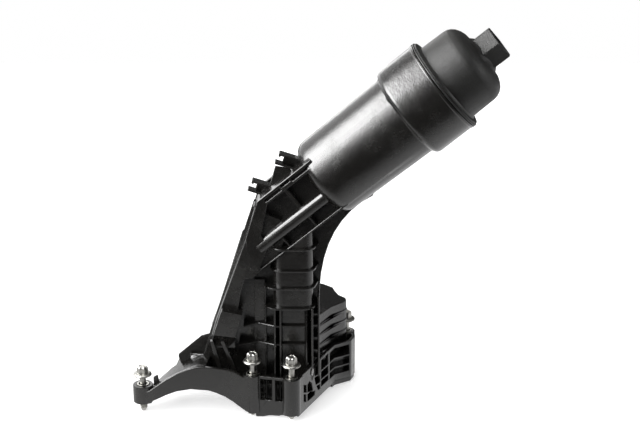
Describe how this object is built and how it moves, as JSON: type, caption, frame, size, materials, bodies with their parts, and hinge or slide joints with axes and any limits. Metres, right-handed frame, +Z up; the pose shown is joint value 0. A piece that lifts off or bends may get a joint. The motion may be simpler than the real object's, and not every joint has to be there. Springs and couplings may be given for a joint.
{
  "type": "oil filter housing",
  "caption": "Black plastic oil filter housing: tilted filter bowl with hexagon screw cap on a ribbed tower, base flange with captive screws and a side arm.",
  "frame": {"origin": "in the sealing face of the base, below the column", "axes": "+Z up from the sealing face, +X the way the filter bowl leans, -Y the front with the ribbed frame"},
  "size_m": [0.301, 0.1135, 0.3134],
  "materials": {
    "black_nylon": "moulded, semi-gloss",
    "cap_nylon": "moulded, satin",
    "black_rubber": "moulded rubber",
    "zinc_plated_steel": "zinc plated",
    "filter_paper": "pleated filter paper",
    "spring_steel": "bare spring wire"
  },
  "bodies": {
    "housing": {"housing": "black_nylon", "duct_cover": "black_nylon", "chamber_cover": "black_nylon", "base_gasket": "black_rubber", "sleeve_arm": "zinc_plated_steel", "sleeve_front_left": "zinc_plated_steel", "sleeve_front_right": "zinc_plated_steel", "sleeve_rear_right": "zinc_plated_steel", "sleeve_rear_left": "zinc_plated_steel"},
    "element": {"element_top_disc": "filter_paper", "element_paper": "filter_paper", "element_bottom_disc": "filter_paper", "element_seal": "black_rubber"},
    "stem": {"stem": "black_nylon", "stem_o_ring": "black_rubber", "bypass_spring": "spring_steel"},
    "cap": {"filter_cap": "cap_nylon", "cap_o_ring": "black_rubber"},
    "valve": {"bypass_valve": "black_nylon"},
    "screw_arm": {"screw_arm": "zinc_plated_steel"},
    "screw_front_left": {"screw_front_left": "zinc_plated_steel"},
    "screw_front_right": {"screw_front_right": "zinc_plated_steel"},
    "screw_rear_right": {"screw_rear_right": "zinc_plated_steel"},
    "screw_rear_left": {"screw_rear_left": "zinc_plated_steel"}
  },
  "joints": [
    {"name": "insert_pull", "type": "slide", "parent": "housing", "child": "element", "axis": [0.7734, 0, 0.6339], "range_m": [0, 0.13]},
    {"name": "cap_rise", "type": "slide", "parent": "element", "child": "stem", "axis": [0.7734, 0, 0.6339], "range_m": [0, 0.012]},
    {"name": "cap_turn", "type": "hinge", "parent": "stem", "child": "cap", "pos_m": [0.0231, 0, 0.1876], "axis": [0.7734, 0, 0.6339], "range_deg": [0, 1080]},
    {"name": "valve_lift", "type": "slide", "parent": "stem", "child": "valve", "axis": [0.7734, 0, 0.6339], "range_m": [0, 0.004], "stiffness_N_per_m": 2000, "springref_m": -0.004, "deforming": ["bypass_spring"]},
    {"name": "screw_arm_slide", "type": "slide", "parent": "housing", "child": "screw_arm", "axis": [0, 0, 1], "range_m": [-0.0072, 0.003]},
    {"name": "screw_front_left_slide", "type": "slide", "parent": "housing", "child": "screw_front_left", "axis": [0, 0, 1], "range_m": [-0.0094, 0.003]},
    {"name": "screw_front_right_slide", "type": "slide", "parent": "housing", "child": "screw_front_right", "axis": [0, 0, 1], "range_m": [-0.0094, 0.003]},
    {"name": "screw_rear_right_slide", "type": "slide", "parent": "housing", "child": "screw_rear_right", "axis": [0, 0, 1], "range_m": [-0.0094, 0.003]},
    {"name": "screw_rear_left_slide", "type": "slide", "parent": "housing", "child": "screw_rear_left", "axis": [0, 0, 1], "range_m": [-0.0094, 0.003]}
  ],
  "couplings": [
    {"joint": "cap_rise", "follows": "cap_turn", "m_per_rad": 0.00063662}
  ]
}
